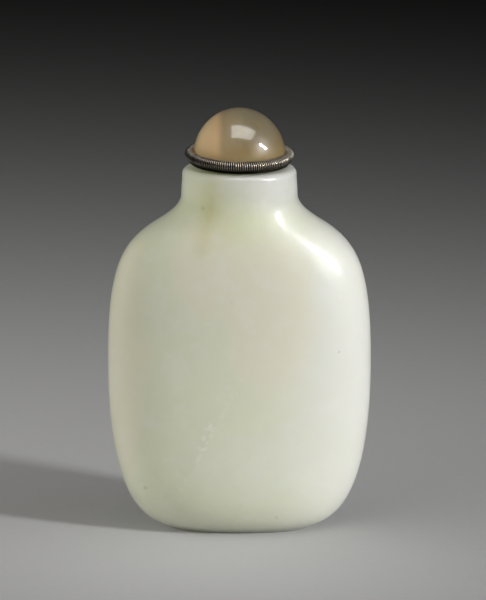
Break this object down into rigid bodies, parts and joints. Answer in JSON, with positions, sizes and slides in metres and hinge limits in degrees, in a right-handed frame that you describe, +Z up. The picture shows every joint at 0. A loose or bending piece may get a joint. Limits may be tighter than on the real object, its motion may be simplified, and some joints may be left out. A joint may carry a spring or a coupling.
{
  "type": "snuff bottle",
  "caption": "Flattened oval jade snuff bottle with a round neck, and a stopper of a domed stone in a ring of wound silver wire, resting in its mouth.",
  "frame": {"origin": "centre of the flat oval foot, on the surface the bottle stands on", "axes": "+Z up along the bottle's axis, X across its broad face, the broad front facing -Y"},
  "size_m": [0.0396, 0.0228, 0.064],
  "materials": {
    "jade": "polished, faintly translucent",
    "silver": "tarnished silver, bright on the ribs",
    "agate": "polished, translucent",
    "cork": "matt"
  },
  "bodies": {
    "root": {"bottle": "jade", "collar_plate": "silver", "collar_coil": "silver", "domed_stone": "agate", "cork_plug": "cork"}
  },
  "joints": []
}
